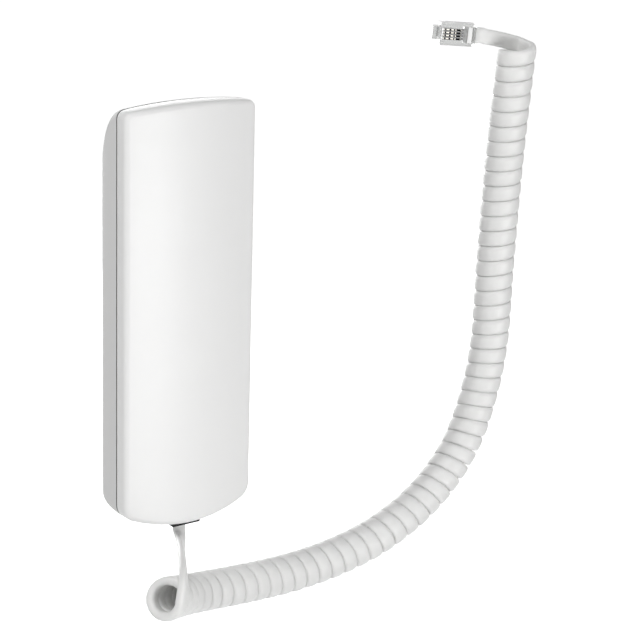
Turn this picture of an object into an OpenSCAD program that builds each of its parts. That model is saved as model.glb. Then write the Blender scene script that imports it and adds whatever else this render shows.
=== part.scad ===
// Audio intercom handset with a curly cord.
// Frame: X across the handset, Y from its plain face back to the listening side, Z up its length.
// The origin is the middle of the flat rear face, which rests against the wall station.

/* [Case] */
// Length of the case over both bowed ends
case_length = 142; // [130:1:160]
// Width of the case
case_width = 49.6; // [47:0.2:58]
// Depth of the rear shell, from the flat rear face to the seam
rear_depth = 12; // [11.6:0.1:13]
// Depth of the front shell at its sides, from the seam to the face
front_depth = 5.1; // [4.8:0.1:6]
// How far the plain face swells across the width
face_crown = 2.5; // [1.8:0.1:4]
// Radius round the edge of the plain face
face_fillet = 1.7; // [1:0.1:2.4]
// Bow of the upper end
top_bow = 1.7; // [1.2:0.1:4]
// Bow of the lower end
bottom_bow = 5.6; // [4:0.1:8]
// Corner radius of the upper end
top_corner = 2.9; // [2.6:0.1:6]
// Corner radius of the lower end
bottom_corner = 5.6; // [4:0.1:8]
// How far the rear shell slopes away behind the upper end
nose_drop = 20; // [14:0.5:20]
// How far the rear shell is drawn in behind the lower end
heel_drop = 2.2; // [0.5:0.1:3]
// How far the rear shell's sides are drawn in behind the seam
side_draw = 1.8; // [0.6:0.1:2.4]
// Radius round the edge of the flat rear face
rear_fillet = 1.5; // [0.8:0.1:2]
// Wall of both shells
wall = 1.6; // [1.2:0.1:1.8]
// Thickness of the rear floor
floor_t = 2.4; // [2:0.1:2.8]
// Thickness of the tongue that lines up the shells
tongue_t = 0.9; // [0.7:0.1:1.2]
// Height of the tongue over the seam
tongue_h = 0.8; // [0.5:0.1:1]
// Depth and width of the shadow groove along the seam
seam_groove = 0.5; // [0.3:0.05:0.7]

/* [Earpiece] */
// Distance of the earpiece's centre below the upper end
ear_inset = 37.5; // [37.5:0.5:40]
// Diameter of the round ear recess
ear_recess_d = 30; // [27:0.5:31]
// Depth of the ear recess
ear_recess_depth = 1; // [0.6:0.1:1.2]
// Diameter of each sound hole
sound_hole_d = 1.6; // [1:0.1:2]
// Pitch of the rings of sound holes
sound_hole_pitch = 4; // [3.4:0.1:4.4]
// Rings of sound holes round the middle one
sound_hole_rings = 2; // [1:1:2]
// Diameter of the receiver capsule
receiver_d = 28; // [26:0.5:29]
// Height of the receiver capsule's frame
receiver_h = 6; // [5.4:0.1:6.4]
// Wall of the receiver capsule's frame
receiver_wall = 1.4; // [1:0.1:1.8]
// Thickness of the receiver's rubber gasket
gasket_t = 1; // [0.8:0.1:1.2]
// Width of the gasket ring
gasket_w = 3; // [2:0.1:3.4]
// Thickness of the dust cloths
cloth_t = 0.3; // [0.2:0.05:0.4]
// Outer diameter of the magnet cup
yoke_d = 13; // [12:0.2:14]
// Wall of the magnet cup
yoke_t = 1.2; // [1:0.1:1.4]
// Diameter of the magnet
magnet_d = 8; // [7:0.1:8.4]
// Height of the magnet
magnet_h = 2; // [1.6:0.1:2.4]
// Height of the pole plate on the magnet
pole_h = 1; // [0.8:0.1:1.2]
// Wall of the voice coil
voice_coil_t = 0.4; // [0.3:0.05:0.5]
// Thickness of the diaphragm
diaphragm_t = 0.3; // [0.2:0.05:0.4]
// Thickness of the foam pad behind the receiver
pad_t = 7; // [6:0.1:7]
// Height of the collars that hold the capsules
collar_h = 3.6; // [2.6:0.1:4.2]
// Wall of the collars
collar_t = 1.2; // [1:0.1:1.6]

/* [Mouthpiece] */
// Distance of the microphone's centre above the lower end
mic_inset = 26; // [26:0.1:27]
// Diameter of the microphone capsule
mic_d = 9.7; // [8:0.1:10]
// Height of the microphone capsule
mic_h = 4.5; // [3.5:0.1:5]
// Wall of the rubber boot round the microphone
boot_t = 1.5; // [1.2:0.1:2]
// Diameter of each mouthpiece hole
mic_hole_d = 1.4; // [1:0.1:1.8]
// Pitch of the mouthpiece holes
mic_hole_pitch = 3; // [2.4:0.1:3.2]

/* [Weight and screws] */
// Width of the steel weight
weight_width = 22; // [16:1:24]
// Thickness of the steel weight
weight_t = 5; // [3:0.1:6]
// Diameter of the pegs that hold the weight
peg_d = 3; // [2.5:0.1:3.5]
// Diameter of the screws' shank
screw_d = 2.6; // [2.2:0.1:3]
// Diameter of the screws' heads
screw_head_d = 5; // [4.4:0.1:5.4]
// Height of the screws' heads
screw_head_h = 1.8; // [1.4:0.1:2.2]
// Length of the screws below the head
screw_length = 8; // [6.5:0.1:8.4]
// Depth of the wells that the heads sit in
screw_well = 4.4; // [3.6:0.1:5]
// Wall of the screw posts
post_wall = 1.8; // [1.5:0.1:2.2]

/* [Cord socket] */
// Width of the socket's housing
socket_width = 10.6; // [10.2:0.1:11.4]
// How far the socket stands out of the lower end
socket_proud = 1.1; // [0.6:0.1:1.4]
// Length of the socket's housing
socket_length = 17.2; // [17:0.1:17.4]
// How far the socket reaches over the seam into the front shell
socket_front = 3.9; // [3.6:0.1:4.2]
// Thickness of the socket's flange inside the case
flange_t = 1.2; // [1:0.1:1.6]
// How far the flange stands out on each side
flange_w = 1.6; // [1.2:0.1:2]
// Thickness of the small circuit board behind the socket
board_t = 1.2; // [0.8:0.1:1.6]
// Width of the circuit board
board_width = 16; // [12:0.5:18]
// Width of the flat inner leads
lead_width = 1.8; // [1.4:0.1:2]
// Thickness of the flat inner leads
lead_t = 0.9; // [0.7:0.1:1.1]

/* [Plug] */
// Width of the four-contact plug
plug_width = 7.65; // [7.4:0.05:7.65]
// Height of the plug without its latch
plug_height = 5.6; // [5.4:0.1:5.7]
// Length of the plug's body
plug_length = 12.5; // [12.1:0.1:12.8]
// Length of the plug's nose in front of the body
nose_length = 2; // [1.6:0.1:2.2]
// Width of the plug's nose
nose_width = 4.6; // [4:0.1:5]
// How far the plug's rear end sits inside the case's lower end
plug_sunk = 0.5; // [0.2:0.1:0.8]
// Pitch of the four contacts
contact_pitch = 1.02; // [1:0.01:1.1]
// Thickness of each contact blade
contact_t = 0.35; // [0.25:0.05:0.4]
// Length of each contact blade
contact_length = 6.4; // [5.6:0.1:6.8]
// Height of each contact blade
contact_h = 2; // [1.6:0.1:2.2]
// Width of the latch lever
latch_width = 3.2; // [2.8:0.1:3.4]
// Thickness of the latch lever
latch_t = 0.7; // [0.6:0.05:0.75]
// Length of the latch lever
latch_length = 10.8; // [10:0.1:11.2]
// Lean of the line plug's free lever
free_latch_lean = 11; // [8:1:13]
// Lean of the handset plug's lever, held in by the socket
seated_latch_lean = 7; // [6.5:0.1:8]

/* [Cord] */
// Width of the flat cord
cord_width = 4.1; // [3.6:0.1:4.1]
// Thickness of the flat cord
cord_t = 2.4; // [1.8:0.1:2.5]
// Outer diameter of the curls
curl_d = 13; // [12:0.1:13.2]
// Outer diameter of the slack curl at the handset end
slack_curl_d = 14.6; // [13:0.1:15]
// Length over which the last curls slacken
slack_length = 24; // [16:1:32]
// Full curls
curls = 54; // [48:1:54]

/* [Clearances] */
// Play between a moving or pushed-in piece and its neighbour
play = 0.15; // [0.1:0.01:0.2]
// Gap between the latch lever and the plug at its root
latch_gap = 0.4; // [0.35:0.05:0.45]
// Gap between the inner leads and what is beside them
lead_gap = 0.6; // [0.3:0.05:1]
// Gap between the lower screw's post and the mouthpiece's collar
collar_gap = 1.7; // [0.6:0.1:3]
// Gap between the weight's ends and the screw posts
weight_gap = 2.9; // [1:0.1:6]

/* [Hidden] */
$fn = 48;

// How far the plug's middle sits behind the seam
plug_behind_seam = 0.9;
// How deep the cord reaches into a plug
cord_hole_depth = 4;
// The cord's route is given from the middle of the lower end, at the plug's height
cord_from = [0, plug_behind_seam - rear_depth, -case_length / 2];
// Axis of the curls, from the handset end up to the plug end
axis_route = [[-26.5, -33.5, -12], [-8.5, -22.5, -18], [15, -19, -21], [36, -17.5, -22], [56, -17.5, -20],
    [74, -18, -15], [92, -17.5, -6], [106.5, -16.5, 7], [115.5, -15.5, 23], [121.5, -14.5, 45],
    [123.5, -13.5, 75.5], [125, -14, 113.5], [125, -17.5, 151]];
// Straight tail below the socket, up to the first curl
handset_route = [[0, 0, plug_sunk + cord_hole_depth], [0, 0, 2.5], [0, 0, 0.5], [0, 0, -1.5], [0, 0, -4],
    [-0.8, -1.9, -6.5], [-3.5, -6.6, -7.3], [-7.7, -13.7, -6.8], [-12.1, -20.9, -5.8], [-16.3, -27.8, -4.9],
    [-19.7, -33.5, -4.9], [-22, -37.4, -6.8]];
// Straight tail from the last curl to the line plug
plug_route = [[130.4, -15.7, 151.2], [129.3, -12.8, 152], [125.3, -11.4, 153.2], [120.4, -11.2, 154.4],
    [116, -10.9, 155.3]];
// Cord entry of the line plug, and the way that the plug points
line_plug_at = cord_from + [112, -9.6, 156];
line_plug_yaw = 156;
line_plug_lift = 4;
function from_socket(route) = [for (p = route) cord_from + p];
// Turn of the first and the last curl round the axis
curl_start = -105;
curl_end = -10;
curl_steps = 8;
cord_sides = 6;

// Places along the case
case_top = case_length / 2;
case_bottom = -case_length / 2;
half_width = case_width / 2;
seam_y = -rear_depth;
face_y = seam_y - front_depth;
floor_y = -floor_t;
ear_z = case_top - ear_inset;
mic_z = case_bottom + mic_inset;
rear_wall = wall + tongue_t;

// The capsules set the places of the leads and screws, and the screws set the weight's
well_d = screw_head_d + 0.6;
boss_d = well_d + 2 * post_wall;
receiver_bore = receiver_d + 2 * play;
mic_bore = mic_d + 2 * (boot_t + play);
lead_z = ear_z - receiver_bore / 2 - collar_t - lead_gap - lead_width / 2;
screw_zs = [lead_z - lead_width / 2 - lead_gap - boss_d / 2,
    mic_z + mic_bore / 2 + collar_t + collar_gap + boss_d / 2];
weight_z = (screw_zs[0] + screw_zs[1]) / 2;
weight_length = screw_zs[0] - screw_zs[1] - boss_d - 2 * weight_gap;

// End arcs of the outline: radius and centre
top_r = (half_width * half_width + top_bow * top_bow) / (2 * top_bow);
bottom_r = (half_width * half_width + bottom_bow * bottom_bow) / (2 * bottom_bow);
top_c = case_top - top_r;
bottom_c = -case_bottom - bottom_r;
corner_steps = 5;
arc_steps = 10;
least_corner = 0.5;
// Share of the nose's drop that rounds its corners further
nose_round = 0.35;
// Half the width of the level strip along the middle of the face
flat_strip = 1;

function end_arc(w, c, r_end, r_corner) =
    let (r = min(max(r_corner, least_corner), 0.9 * w),
        h = sqrt((r_end - r) * (r_end - r) - (w - r) * (w - r)),
        lift = atan2(h, w - r),
        corner = [for (i = [0:corner_steps])
            let (a = lift * i / corner_steps) [w - r + r * cos(a), c + h + r * sin(a)]],
        arc = [for (i = [1:arc_steps - 1])
            let (a = lift + (180 - 2 * lift) * i / arc_steps) [r_end * cos(a), c + r_end * sin(a)]])
    concat(corner, arc, [for (i = [corner_steps:-1:0]) [-corner[i][0], corner[i][1]]]);

// Outline of the case set in by d, with the upper and lower ends and the sides drawn in further
function outline(d, nose = 0, heel = 0, side = 0) =
    let (w = half_width - d - side)
    concat(end_arc(w, top_c - nose, top_r - d, top_corner - d + nose * nose_round),
        [for (p = end_arc(w, bottom_c - heel, bottom_r - d, bottom_corner - d + heel * nose_round)) -p]);

function crown_at(x) =
    let (k = max(abs(x) - flat_strip, 0) / (half_width - flat_strip)) face_crown * (1 - k * k);

// Ring of the front shell, set in by d at the given depth over the seam
function front_ring(d, depth) =
    [for (p = outline(d)) [p[0], seam_y - depth - crown_at(p[0]) * depth / front_depth, p[1]]];

// Ring of the rear shell at a sweep from the seam (0) to the rear face (90)
function rear_ring(d, sweep, nose = nose_drop) =
    let (k = 1 - cos(sweep), y = seam_y + rear_depth * sin(sweep))
    [for (p = outline(d, nose * k, heel_drop * k, side_draw * k)) [p[0], y, p[1]]];

// How far the rear edge's radius draws the wall in at a sweep
function rear_inset(sweep) =
    let (q = max(0, 1 - rear_depth * (1 - sin(sweep)) / rear_fillet)) rear_fillet * (1 - sqrt(1 - q * q));

function backwards(list) = [for (i = [len(list) - 1:-1:0]) list[i]];

// Solid through a row of rings with equal counts of points, closed at both ends.
// Each ring runs anticlockwise as seen from the ring before it.
module loft(rings) {
    n = len(rings[0]);
    last = (len(rings) - 1) * n;
    sides = [for (k = [0:len(rings) - 2]) for (i = [0:n - 1])
        let (a = k * n + i, b = k * n + (i + 1) % n) each [[a, b, b + n], [a, b + n, a + n]]];
    polyhedron([for (r = rings) each r],
        concat(sides, [[for (i = [n - 1:-1:0]) i], [for (i = [0:n - 1]) last + i]]));
}

// Disc or ring about an axis along Y, from y_rear forwards by h
module disc(d, y_rear, h, hole = 0) {
    translate([0, y_rear, 0]) rotate([90, 0, 0]) difference() {
        cylinder(d = d, h = h);
        if (hole > 0) translate([0, 0, -1]) cylinder(d = hole, h = h + 2);
    }
}

// Solid of revolution about an axis along Y from points [radius, y]
module turned(profile) {
    rotate([90, 0, 0]) rotate_extrude() polygon([for (p = profile) [p[0], -p[1]]]);
}

/* Case */

// Reach of the screw posts: the rear well's floor, and the front posts that stand on it
well_floor_t = 1.4;
post_y = -screw_well - well_floor_t;
post_d = screw_d + 2 * post_wall;
pilot_d = screw_d + 0.1;
face_inner_y = face_y - face_crown + wall;

// Socket's mouth and the opening for it in both shells
socket_y0 = seam_y - socket_front;
socket_y1 = floor_y - play;
socket_z0 = case_bottom - socket_proud;
socket_z1 = socket_z0 + socket_length;
flange_z = case_bottom + rear_wall + 1.8;
flange_y1 = socket_y1 - 1.5;

module socket_opening() {
    w = socket_width + 2 * play;
    translate([-w / 2, socket_y0 - play, socket_z0 - 5])
        cube([w, socket_y1 - socket_y0 + 2 * play, socket_length + 5 + play]);
}

module front_shell() {
    straight = front_depth - face_fillet;
    inner_depth = front_depth - wall;
    inner_r = max(0.6, face_fillet - wall - 0.6);
    inner_straight = inner_depth - inner_r;
    inner_edge = wall + inner_r;
    spine = half_width - 0.8 * flat_strip;
    inner = concat(
        [for (k = [0, 0.35, 0.7]) front_ring(spine + (inner_edge - spine) * k, inner_depth)],
        [for (a = [90:-30:0])
            front_ring(wall + inner_r * (1 - cos(a)), inner_straight + inner_r * sin(a))],
        [front_ring(wall, 0)]);
    outer = concat([front_ring(0, 0)],
        [for (a = [0:15:90]) front_ring(face_fillet * (1 - cos(a)), straight + face_fillet * sin(a))],
        [for (k = [0.2, 0.45, 0.7, 1]) front_ring(face_fillet + (spine - face_fillet) * k, front_depth)]);
    color("#ececea") difference() {
        union() {
            loft(backwards(concat(inner, outer)));
            for (z = screw_zs) translate([0, 0, z])
                disc(post_d, post_y - 0.05, -face_inner_y + post_y + 0.5);
        }
        for (z = screw_zs) translate([0, 0, z]) disc(pilot_d, post_y + 1, screw_length + 1);
        socket_opening();
    }
}

module rear_shell() {
    sweeps = [0, 20, 40, 55, 66, 76, 84, 90];
    floor_sweep = asin(1 - floor_t / rear_depth);
    // The steep nose needs more offset for an even wall
    inner = [for (k = [1:-0.2:0]) rear_ring(rear_wall, floor_sweep * k, nose_drop + 4 * wall)];
    lift = function (d, h) [for (p = outline(d)) [p[0], seam_y - h, p[1]]];
    tongue = [lift(rear_wall, tongue_h), lift(wall + 0.1, tongue_h), lift(wall + 0.1, 0)];
    groove = [lift(seam_groove, 0), lift(seam_groove, -seam_groove), lift(0, -seam_groove)];
    outer = [for (a = sweeps) if (a > 5) rear_ring(rear_inset(a), a)];
    color("#dededc") difference() {
        union() {
            loft(concat(inner, tongue, groove, outer));
            translate([0, 0, ear_z]) collar(receiver_bore);
            translate([0, 0, mic_z]) collar(mic_bore);
            for (z = screw_zs) translate([0, 0, z])
                disc(boss_d, -1, screw_well + well_floor_t - 1);
            for (z = peg_zs) translate([0, 0, z]) disc(peg_d, floor_y + 0.4, weight_t + 1.2);
        }
        translate([0, 0, ear_z]) {
            disc(ear_recess_d, 1, ear_recess_depth + 1);
            sound_holes();
        }
        translate([0, 0, mic_z]) for (k = [-1:1]) translate([k * mic_hole_pitch, 0, 0])
            disc(mic_hole_d, 1, floor_t + 2);
        for (z = screw_zs) translate([0, 0, z]) {
            disc(well_d, 1, screw_well + 1);
            disc(screw_d + 0.4, 0, screw_well + well_floor_t + 1);
        }
        socket_opening();
    }
}

// Ring on the rear floor that holds a capsule
module collar(bore) {
    disc(bore + 2 * collar_t, floor_y + 0.4, collar_h, bore);
}

module sound_holes() {
    disc(sound_hole_d, 0, floor_t + 1);
    for (ring = [1:sound_hole_rings]) for (k = [0:6 * ring - 1])
        rotate([0, 60 * k / ring, 0]) translate([ring * sound_hole_pitch, 0, 0])
            disc(sound_hole_d, 0, floor_t + 1);
}

/* Receiver, stacked forwards from the rear floor */

gasket_y = floor_y - gasket_t;
frame_front_y = gasket_y - receiver_h;
frame_floor_t = 1.2;
ledge = 1;
diaphragm_y = gasket_y - ledge;
yoke_floor_y = frame_front_y - 0.6;
magnet_y = yoke_floor_y + magnet_h;
pole_y = magnet_y + pole_h;
gap_w = 0.5;
voice_coil_d = magnet_d + 2 * gap_w;

module earpiece_cloth() {
    color("#3a3a3c") translate([0, 0, ear_z]) disc(receiver_d - 2 * gasket_w - 0.4, floor_y, cloth_t);
}

module receiver_gasket() {
    color("#2c2c2e") translate([0, 0, ear_z]) disc(receiver_d, floor_y, gasket_t, receiver_d - 2 * gasket_w);
}

module receiver_frame() {
    r = receiver_d / 2;
    seat = yoke_d / 2 + 0.05;
    bore = r - receiver_wall;
    step = bore - 1.6;
    floor_top = frame_front_y + frame_floor_t;
    color("#4a4a4e") translate([0, 0, ear_z]) turned([[r, gasket_y], [r, frame_front_y],
        [seat, frame_front_y], [seat, floor_top], [step, floor_top], [step, diaphragm_y - 0.3],
        [bore, diaphragm_y - 0.3], [bore, gasket_y]]);
}

module receiver_diaphragm() {
    r = receiver_d / 2 - receiver_wall - 0.1;
    c = voice_coil_d / 2;
    y = diaphragm_y - 0.3;
    front = [[0, y - 0.2], [c * 0.6, y - 0.5], [c + 0.6, y - 1], [r - 2.6, y], [r, y]];
    rear = [for (p = backwards(front)) p + [0, diaphragm_t]];
    color("#c9a64a") translate([0, 0, ear_z]) turned(concat(front, rear));
}

module receiver_voice_coil() {
    top = diaphragm_y - 0.3 - 1;
    color("#b5652d") translate([0, 0, ear_z])
        disc(voice_coil_d + 2 * voice_coil_t, top, top - pole_y + pole_h, voice_coil_d);
}

module receiver_pole_plate() {
    color("#8f9296") translate([0, 0, ear_z]) disc(magnet_d, pole_y, pole_h);
}

module receiver_magnet() {
    color("#5a5c60") translate([0, 0, ear_z]) disc(magnet_d - 0.4, magnet_y, magnet_h);
}

module receiver_yoke() {
    color("#9a9da2") translate([0, 0, ear_z]) {
        disc(yoke_d, yoke_floor_y, yoke_t);
        disc(yoke_d, pole_y, pole_y - yoke_floor_y + 0.05, yoke_d - 2 * yoke_t);
    }
}

module receiver_pad() {
    color("#3d3d40") translate([0, 0, ear_z])
        disc(receiver_d - 4, frame_front_y, pad_t, yoke_d + 0.4);
}

/* Microphone */

module microphone_cloth() {
    color("#3a3a3c") translate([0, 0, mic_z]) disc(mic_d, floor_y, cloth_t);
}

module microphone_boot() {
    color("#2c2c2e") translate([0, 0, mic_z])
        disc(mic_d + 2 * boot_t, floor_y, cloth_t + mic_h, mic_d + 0.1);
}

module microphone_capsule() {
    color("#b9bcc0") translate([0, 0, mic_z]) disc(mic_d, floor_y - cloth_t, mic_h);
}

/* Steel weight on two pegs */

peg_zs = [weight_z - weight_length / 4, weight_z + weight_length / 4];

module ballast_weight() {
    color("#85888c") difference() {
        translate([-weight_width / 2, floor_y - weight_t, weight_z - weight_length / 2])
            cube([weight_width, weight_t, weight_length]);
        for (z = peg_zs) translate([0, 0, z]) disc(peg_d + 0.3, floor_y + 1, weight_t + 2);
    }
}

/* Case screws */

module case_screw(z) {
    head_y = -screw_well;
    color("#a9acb0") translate([0, 0, z]) difference() {
        union() {
            disc(screw_head_d, head_y + screw_head_h, screw_head_h);
            disc(screw_d, head_y, screw_length);
        }
        translate([0, head_y + screw_head_h, 0]) {
            cube([3, 2, 0.7], center = true);
            cube([0.7, 2, 3], center = true);
        }
    }
}

module upper_case_screw() { case_screw(screw_zs[0]); }
module lower_case_screw() { case_screw(screw_zs[1]); }

/* Plug, along +Z from its cord entry, contacts towards -Y, latch on +Y */

plug_contact_y = -plug_height / 2;
cord_hole = [cord_width + 0.2, cord_t + 0.2];
contact_top = plug_length - 0.9;

module plug_body() {
    w = plug_width;
    h = plug_height;
    difference() {
        union() {
            translate([-w / 2, -h / 2, 0]) cube([w, h, plug_length]);
            translate([-nose_width / 2, h / 2 - 2.4, plug_length - 1])
                cube([nose_width, 2.2, nose_length + 1]);
        }
        translate([-cord_hole[0] / 2, -cord_hole[1] / 2, -1])
            cube([cord_hole[0], cord_hole[1], cord_hole_depth + 1]);
        for (k = [-1.5:1:1.5])
            translate([k * contact_pitch, plug_contact_y, contact_top - contact_length / 2])
                cube([contact_t + 0.2, 2 * (contact_h + 0.5), contact_length + 0.2], center = true);
        translate([-w * 0.33, plug_contact_y - 1, 1.3]) cube([w * 0.66, 1.9, 1.9]);
        translate([-w / 2 - 1, h / 2 - 1.2, plug_length - 2.2]) cube([1.9, 2, 3]);
        translate([w / 2 - 0.9, h / 2 - 1.2, plug_length - 2.2]) cube([1.9, 2, 3]);
    }
}

module plug_contacts() {
    for (k = [-1.5:1:1.5])
        translate([k * contact_pitch - contact_t / 2, plug_contact_y + 0.5, contact_top - contact_length])
            cube([contact_t, contact_h, contact_length]);
}

// Lever turned about its root at the plug's nose, with the catch step half way
module plug_latch(lean) {
    root_y = plug_height / 2 + latch_gap;
    wide = latch_length * 0.45;
    narrow = latch_width * 0.7;
    translate([0, root_y, plug_length - 0.6]) rotate([lean, 0, 0]) {
        translate([-latch_width / 2, 0, -wide]) cube([latch_width, latch_t, wide + 0.4]);
        translate([-narrow / 2, 0, -latch_length]) cube([narrow, latch_t, latch_length * 0.6]);
    }
}

/* Socket and the plug in it */

plug_y = cord_from[1];
plug_z = case_bottom + plug_sunk;
seat_z = plug_z + plug_length + nose_length + play;
spring_size = [0.45, 0.4];

module socket_springs(grow = 0) {
    y = plug_y + plug_contact_y - play - spring_size[1] - grow;
    z = plug_z + contact_top - contact_length - grow;
    size = [spring_size[0] + 2 * grow, spring_size[1] + 2 * grow, socket_z1 + board_t + 0.8 - z];
    for (k = [-1.5:1:1.5]) translate([k * contact_pitch - size[0] / 2, y, z]) cube(size);
}

module cord_socket() {
    w = plug_width + 2 * play;
    h = plug_height + 2 * play;
    slot = latch_width + 2 * play + 0.4;
    latch_room = plug_height / 2 + latch_gap + latch_t + 2;
    color("#4b4d50") difference() {
        union() {
            translate([-socket_width / 2, socket_y0, socket_z0])
                cube([socket_width, socket_y1 - socket_y0, socket_length]);
            translate([-socket_width / 2 - flange_w, socket_y0 + 1, flange_z])
                cube([socket_width + 2 * flange_w, flange_y1 - socket_y0 - 1, flange_t]);
        }
        translate([-w / 2, plug_y - h / 2, socket_z0 - 1]) cube([w, h, seat_z - socket_z0 + 1]);
        translate([-slot / 2, plug_y, socket_z0 - 1])
            cube([slot, latch_room, seat_z - socket_z0 + 1]);
        socket_springs(0.05);
    }
}

module socket_contacts() {
    color("#c8a24a") socket_springs();
}

module socket_board() {
    d = socket_y1 - socket_y0 - 1;
    color("#2f6b45") difference() {
        translate([-board_width / 2, socket_y0 + 1 - 0.8, socket_z1]) cube([board_width, d + 0.8, board_t]);
        socket_springs(0.05);
    }
}

module at_handset_plug() { translate([0, plug_y, plug_z]) children(); }
module at_line_plug() {
    translate(line_plug_at) rotate([0, -line_plug_lift, line_plug_yaw]) rotate([0, 90, 0])
        rotate([0, 0, 180]) children();
}

module handset_plug_body() { color("#d9dcdd") at_handset_plug() plug_body(); }
module handset_plug_contacts() { color("#c8a24a") at_handset_plug() plug_contacts(); }
module handset_plug_latch() { color("#d9dcdd") at_handset_plug() plug_latch(seated_latch_lean); }
module line_plug_body() { color("#d9dcdd") at_line_plug() plug_body(); }
module line_plug_contacts() { color("#c8a24a") at_line_plug() plug_contacts(); }
module line_plug_latch() { color("#d9dcdd") at_line_plug() plug_latch(free_latch_lean); }

/* Flat inner leads along the rear floor */

// Run of straight strips through points [x, z], from y_rear forwards
module strip_run(points, y_rear) {
    for (i = [0:len(points) - 2]) {
        a = points[i];
        b = points[i + 1];
        lo = [min(a[0], b[0]), min(a[1], b[1])];
        size = [abs(a[0] - b[0]), abs(a[1] - b[1])];
        translate([lo[0] - lead_width / 2, y_rear - lead_t, lo[1] - lead_width / 2])
            cube([size[0] + lead_width, lead_t, size[1] + lead_width]);
    }
}

lead_end_z = socket_z1 + board_t + lead_width / 2;

module receiver_leads() {
    x = weight_width / 2 + 3;
    rise = floor_y - frame_front_y + lead_t;
    reach = collar_t + play + lead_gap + lead_width + 1;
    color("#b03a2e") {
        strip_run([[0, lead_z], [x, lead_z], [x, lead_end_z], [board_width / 2 - 1, lead_end_z]], floor_y);
        translate([-lead_width / 2, frame_front_y - lead_t, lead_z - lead_width / 2]) {
            cube([lead_width, rise, lead_width]);
            cube([lead_width, lead_t, reach]);
        }
    }
}

module microphone_leads() {
    x = -mic_bore / 2 - collar_t - 2;
    y = floor_y - cloth_t - mic_h;
    color("#2d5fa8") {
        translate([x, y - lead_t, mic_z - lead_width / 2]) cube([-x, lead_t, lead_width]);
        translate([x - lead_width / 2, y - lead_t, mic_z - lead_width / 2])
            cube([lead_width, floor_y - y + lead_t, lead_width]);
        strip_run([[x, mic_z], [x, lead_end_z], [-board_width / 2 + 1, lead_end_z]], floor_y);
    }
}

/* Cord */

function unit(v) = v / norm(v);

// Smooth curve through the points, with a number of steps between each two
function curve(p, steps) =
    let (n = len(p))
    concat([for (i = [0:n - 2]) let (
        b = p[i],
        c = p[i + 1],
        a = i > 0 ? p[i - 1] : 2 * b - c,
        d = i < n - 2 ? p[i + 2] : 2 * c - b)
        for (k = [0:steps - 1]) let (
            t = k / steps,
            bend = 2 * a - 5 * b + 4 * c - d,
            twist = 3 * b - a - 3 * c + d)
            b + ((c - a) * t + bend * t * t + twist * t * t * t) / 2],
        [p[n - 1]]);

// Running length at each point of a line
function lengths(p, i = 0, sum = [0]) =
    i >= len(p) - 1 ? sum : lengths(p, i + 1, concat(sum, [sum[i] + norm(p[i + 1] - p[i])]));

axis_line = curve(from_socket(axis_route), 12);
axis_at = lengths(axis_line);
axis_length = axis_at[len(axis_at) - 1];
axis_tables = [for (k = [0:2]) [for (i = [0:len(axis_line) - 1]) [axis_at[i], axis_line[i][k]]]];
function on_axis(s) = [for (k = [0:2]) lookup(s, axis_tables[k])];
function along_axis(s) = unit(on_axis(min(s + 1.5, axis_length)) - on_axis(max(s - 1.5, 0)));

curl_sweep = 360 * curls + curl_end - curl_start;
curl_rings = round(curl_sweep / 360 * curl_steps);

// Place, outward and axial directions on the curl at ring i
function curl_frame(i) =
    let (s = axis_length * i / curl_rings,
        t = along_axis(s),
        n = unit(cross([0, 1, 0], t)),
        b = cross(t, n),
        a = curl_start + curl_sweep * i / curl_rings,
        k = max(0, 1 - s / slack_length),
        r = (curl_d + (slack_curl_d - curl_d) * k * k - cord_t) / 2,
        out = n * cos(a) + b * sin(a))
    [on_axis(s) + r * out, out, t];

// Cross-section of the flat cord: thickness along u, width along v
function cord_ring(f) =
    let (ht = cord_t / 2, hw = cord_width / 2, e = 0.62)
    [for (c = [[ht, -hw * e], [ht, hw * e], [0, hw], [-ht, hw * e], [-ht, -hw * e], [0, -hw]])
        f[0] + f[1] * c[0] + f[2] * c[1]];

curl_frames = [for (i = [0:curl_rings]) curl_frame(i)];

// Least gap between two neighbouring turns, measured on the points of the rings
function ring_gap(f, g) = min([for (p = cord_ring(f)) for (q = cord_ring(g)) norm(p - q)]);
curl_gap = min([for (i = [0:curl_rings - curl_steps])
    ring_gap(curl_frames[i], curl_frames[i + curl_steps])]);
echo(least_gap_between_turns = curl_gap);

// Direction of the cord's width at a share of a tail, from pairs of a share and a direction
function width_at(share, turns) = [for (k = [0:2]) lookup(share, [for (p = turns) [p[0], p[1][k]]])];

// Frames along a tail whose width turns on the way
function tail_frames(line, turns) =
    let (n = len(line) - 1)
    [for (i = [0:n])
        let (t = unit(line[min(i + 1, n)] - line[max(i - 1, 0)]),
            w = width_at(i / n, turns),
            v = unit(w - t * (w * t)))
        [line[i], cross(t, v), v]];

first_curl = curl_frames[0];
last_curl = curl_frames[curl_rings];

module cord_tail_handset() {
    line = curve(concat(from_socket(handset_route), [first_curl[0]]), 2);
    across = [1, 0, 0];
    down = [0, 0, -1];
    frames = tail_frames(line, [[0.25, across], [0.6, down], [0.8, down], [1, first_curl[2]]]);
    rings = concat([for (i = [0:len(frames) - 2]) cord_ring(frames[i])], [cord_ring(first_curl)]);
    color("#e6e6e4") loft(rings);
}

module cord_curl() {
    color("#e6e6e4") loft([for (f = curl_frames) cord_ring(f)]);
}

module cord_tail_plug() {
    level = [cos(line_plug_yaw), sin(line_plug_yaw), 0];
    up = [0, 0, 1];
    ahead = level * cos(line_plug_lift) + up * sin(line_plug_lift);
    across = up * cos(line_plug_lift) - level * sin(line_plug_lift);
    entry = [for (k = [-cord_width / 2, 0, cord_hole_depth / 2, cord_hole_depth]) line_plug_at + ahead * k];
    line = curve(concat([last_curl[0]], from_socket(plug_route), entry), 3);
    frames = tail_frames(line, [[0.25, last_curl[2]], [0.65, across]]);
    rings = concat([cord_ring(last_curl)], [for (i = [1:len(frames) - 1]) cord_ring(frames[i])]);
    color("#e6e6e4") loft(rings);
}

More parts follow.
